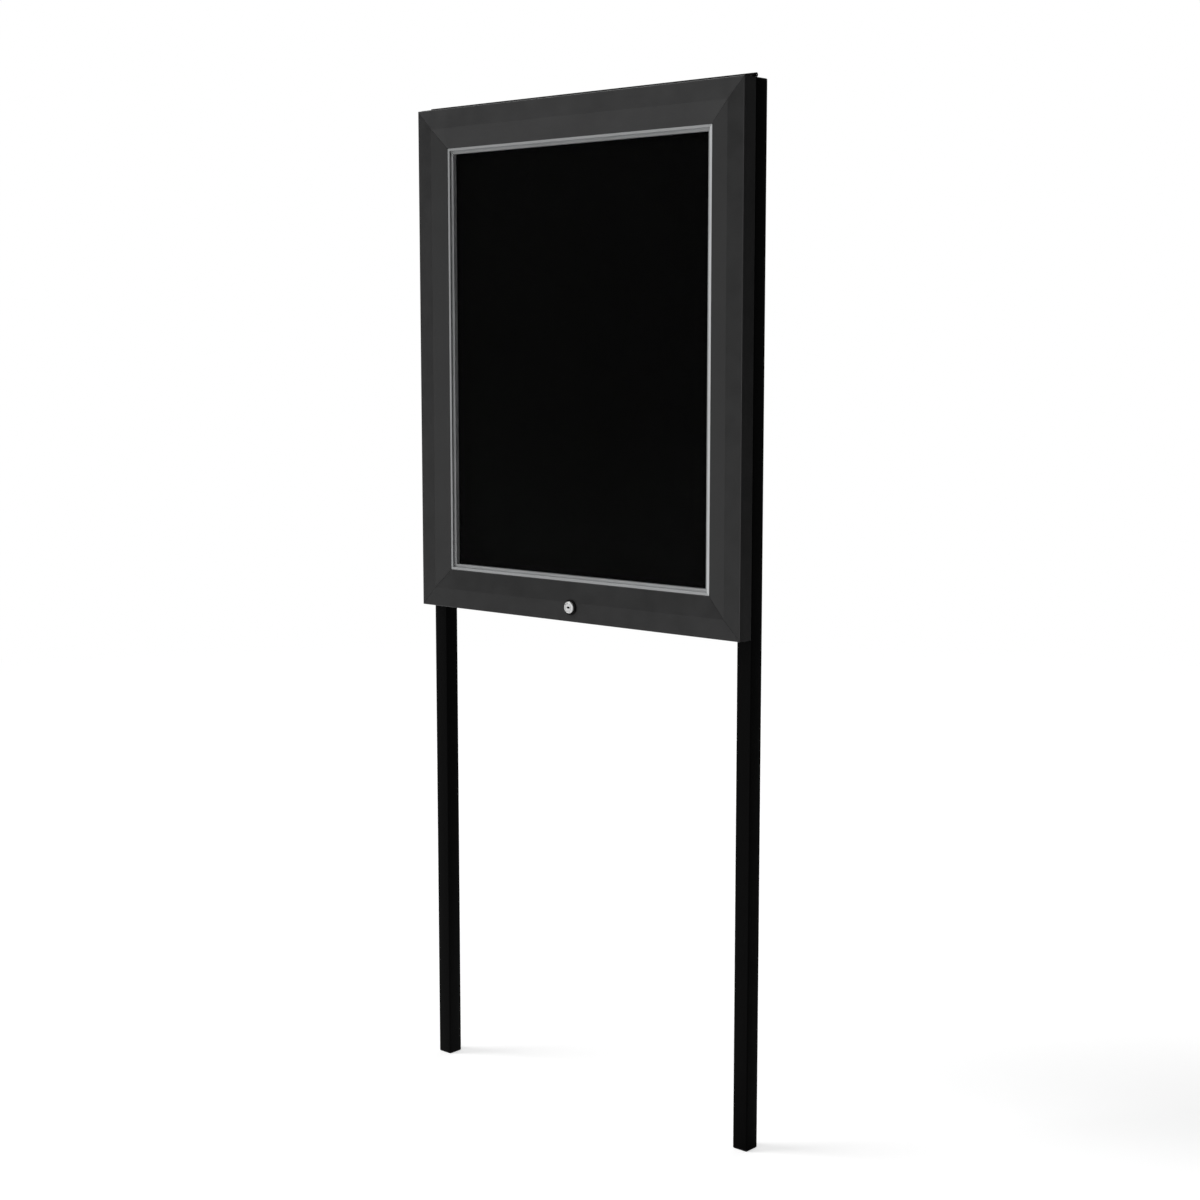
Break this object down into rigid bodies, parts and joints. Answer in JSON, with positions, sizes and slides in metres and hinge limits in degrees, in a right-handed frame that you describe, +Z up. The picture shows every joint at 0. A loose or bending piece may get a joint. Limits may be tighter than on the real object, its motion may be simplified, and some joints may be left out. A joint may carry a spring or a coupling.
{
  "type": "lockable notice board",
  "caption": "Shallow outdoor notice board with a glazed, top-hung lockable door in a mitred frame, gas struts inside, carried by square posts set in the ground.",
  "frame": {"origin": "middle of the base, at the level where the post feet end, in the middle of the overall depth", "axes": "+Z up along the posts, +X to the right seen from the front, the door faces -Y"},
  "size_m": [0.75, 0.0658, 1.7843],
  "materials": {
    "door_frame": "matt anthracite powder coat",
    "case_frame": "silver anodised aluminium",
    "bare_steel": "zinc-plated steel",
    "back_panel": "galvanised sheet",
    "display": "black felt-faced pin board",
    "seal": "black EPDM",
    "glazing": "clear polycarbonate sheet, non-glare",
    "bead": "silver anodised aluminium",
    "lock_chrome": "polished chrome plate",
    "hinge": "black powder-coated steel",
    "post": "black powder-coated steel tube",
    "cap": "black moulded plastic",
    "strut_tube": "black painted steel",
    "strut_rod": "hard chrome plate"
  },
  "bodies": {
    "case": {"case_top_rail": "case_frame", "case_bottom_rail": "case_frame", "case_left_rail": "case_frame", "case_right_rail": "case_frame", "case_corner_bracket_top_left": "bare_steel", "case_corner_bracket_top_right": "bare_steel", "case_corner_bracket_bottom_left": "bare_steel", "case_corner_bracket_bottom_right": "bare_steel", "back_sheet": "back_panel", "pin_board": "display", "weather_seal_top": "seal", "weather_seal_bottom": "seal", "weather_seal_left": "seal", "weather_seal_right": "seal", "lock_keeper": "bare_steel", "hinge_case_leaf": "hinge", "hinge_pin": "bare_steel", "strut_case_bracket_left": "bare_steel", "strut_case_bracket_right": "bare_steel", "post_left": "post", "post_right": "post", "post_cap_left": "cap", "post_cap_right": "cap", "post_foot_left": "cap", "post_foot_right": "cap", "post_screw_left_lower": "bare_steel", "post_screw_left_middle": "bare_steel", "post_screw_left_upper": "bare_steel", "post_screw_right_lower": "bare_steel", "post_screw_right_middle": "bare_steel", "post_screw_right_upper": "bare_steel"},
    "door": {"door_top_rail": "door_frame", "door_bottom_rail": "door_frame", "door_left_stile": "door_frame", "door_right_stile": "door_frame", "door_corner_cleat_top_left": "bare_steel", "door_corner_cleat_top_right": "bare_steel", "door_corner_cleat_bottom_left": "bare_steel", "door_corner_cleat_bottom_right": "bare_steel", "glazing": "glazing", "glazing_retainer_top": "bead", "glazing_retainer_bottom": "bead", "glazing_retainer_left": "bead", "glazing_retainer_right": "bead", "lock_housing": "lock_chrome", "lock_nut": "bare_steel", "hinge_door_leaf": "hinge", "strut_door_bracket_left": "bare_steel", "strut_door_bracket_right": "bare_steel"},
    "lock_barrel": {"lock_plug": "lock_chrome", "lock_cam": "bare_steel", "lock_cam_nut": "bare_steel"},
    "strut_cylinder_left": {"strut_cylinder_left": "strut_tube"},
    "strut_rod_left": {"strut_rod_left": "strut_rod"},
    "strut_cylinder_right": {"strut_cylinder_right": "strut_tube"},
    "strut_rod_right": {"strut_rod_right": "strut_rod"}
  },
  "joints": [
    {"name": "door_hinge", "type": "hinge", "parent": "case", "child": "door", "pos_m": [0, 0.00645, 1.7808], "axis": [-1, 0, 0], "range_deg": [0, 85]},
    {"name": "lock_turn", "type": "hinge", "parent": "door", "child": "lock_barrel", "pos_m": [0, -0.02735, 0.9007], "axis": [0, -1, 0], "range_deg": [0, 90]},
    {"name": "strut_swing_left", "type": "hinge", "parent": "case", "child": "strut_cylinder_left", "pos_m": [-0.3484, -0.01035, 1.477], "axis": [1, 0, 0], "range_deg": [0, 10.5]},
    {"name": "strut_extend_left", "type": "slide", "parent": "strut_cylinder_left", "child": "strut_rod_left", "axis": [0, 0, 1], "range_m": [0, 0.0895]},
    {"name": "strut_swing_right", "type": "hinge", "parent": "case", "child": "strut_cylinder_right", "pos_m": [0.3484, -0.01035, 1.477], "axis": [1, 0, 0], "range_deg": [0, 10.5]},
    {"name": "strut_extend_right", "type": "slide", "parent": "strut_cylinder_right", "child": "strut_rod_right", "axis": [0, 0, 1], "range_m": [0, 0.0895]}
  ],
  "couplings": [
    {"joint": "strut_swing_left", "follows": "door_hinge", "ratio": 0.12346},
    {"joint": "strut_extend_left", "follows": "door_hinge", "m_per_rad": 0.060294},
    {"joint": "strut_swing_right", "follows": "door_hinge", "ratio": 0.12346},
    {"joint": "strut_extend_right", "follows": "door_hinge", "m_per_rad": 0.060294}
  ]
}
